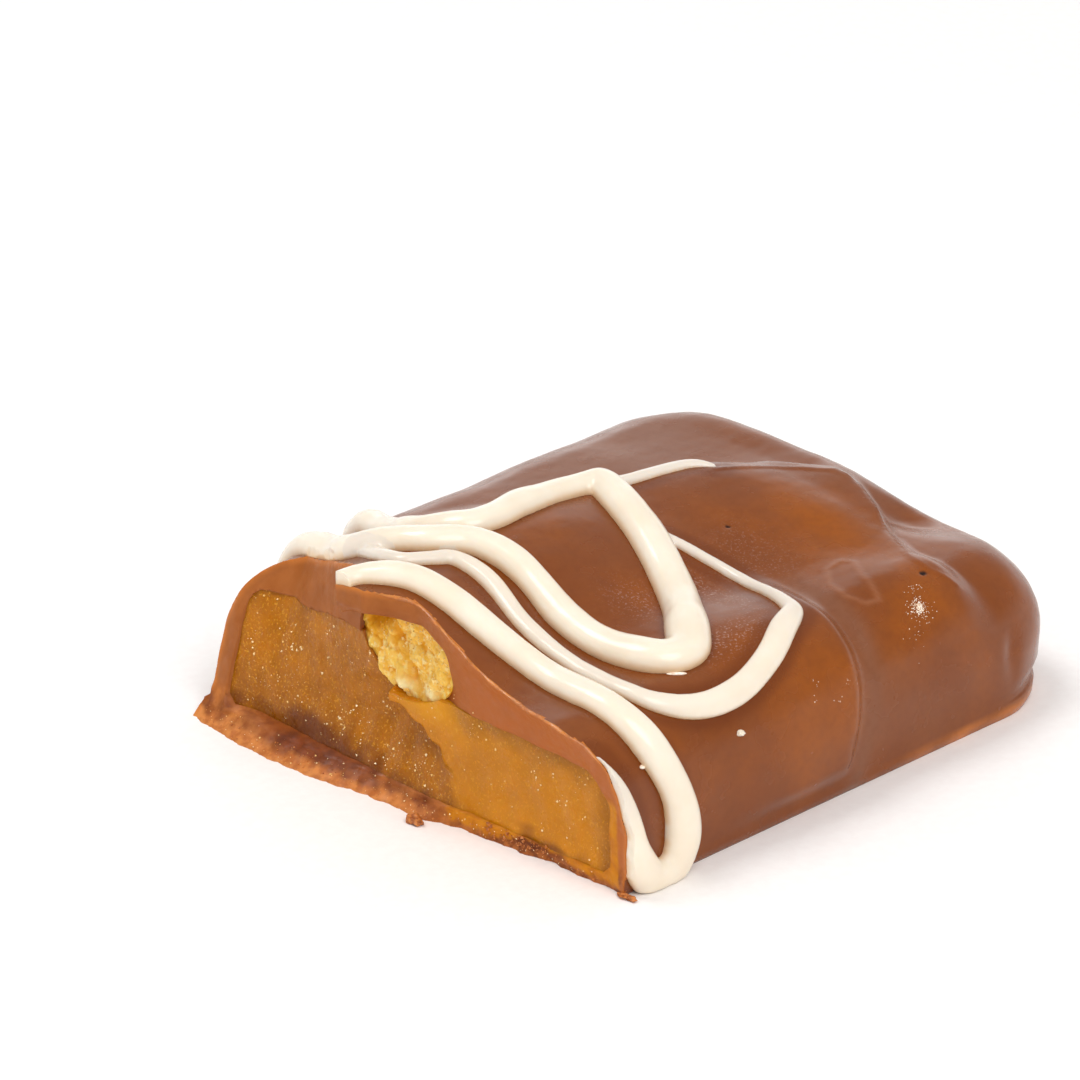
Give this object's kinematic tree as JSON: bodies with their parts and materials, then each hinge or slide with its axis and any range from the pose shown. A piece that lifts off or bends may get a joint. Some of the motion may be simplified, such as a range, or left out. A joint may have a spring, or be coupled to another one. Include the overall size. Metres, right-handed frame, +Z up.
{
  "type": "broken half of a caramel chocolate bar",
  "caption": "Broken half of a milk chocolate bar: a coated slab of soft caramel with a crisp biscuit rod under its ridge and thick cream drizzle on top",
  "frame": {"origin": "middle of the flat base on which the half bar rests, under the centre of its outline", "axes": "+X points from the broken end to the whole rounded end, +Y points to the side of the bar that stands higher, +Z is up"},
  "size_m": [0.045, 0.0398, 0.0158],
  "materials": {
    "milk_chocolate": "soft sheen, smooth",
    "caramel": "moist, slightly grainy",
    "biscuit": "dry, crumbly"
  },
  "bodies": {
    "root": {"chocolate_coating": "milk_chocolate", "caramel_filling": "caramel", "biscuit_core": "biscuit"}
  },
  "joints": []
}
